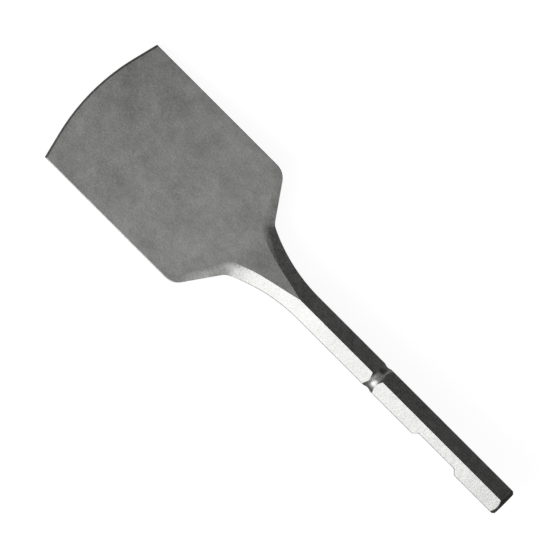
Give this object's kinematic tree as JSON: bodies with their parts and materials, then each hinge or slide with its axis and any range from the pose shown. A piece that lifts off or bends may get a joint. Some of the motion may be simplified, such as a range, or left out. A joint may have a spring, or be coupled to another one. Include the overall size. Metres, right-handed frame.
{
  "type": "clay spade chisel",
  "caption": "Forged steel clay spade chisel for a breaker hammer: a wide tapered blade with a crowned edge on a hexagonal shank with a side notch and a ring groove.",
  "frame": {"origin": "centre of the striking face, on the shank's axis", "axes": "+X along the shank to the cutting edge, +Z square to the blade's face, +Y to the side of the shank with the retaining notch"},
  "size_m": [0.4, 0.109, 0.0246],
  "materials": {
    "forged_steel": "shot-blasted forged steel, uncoated"
  },
  "bodies": {
    "root": {"chisel": "forged_steel"}
  },
  "joints": []
}
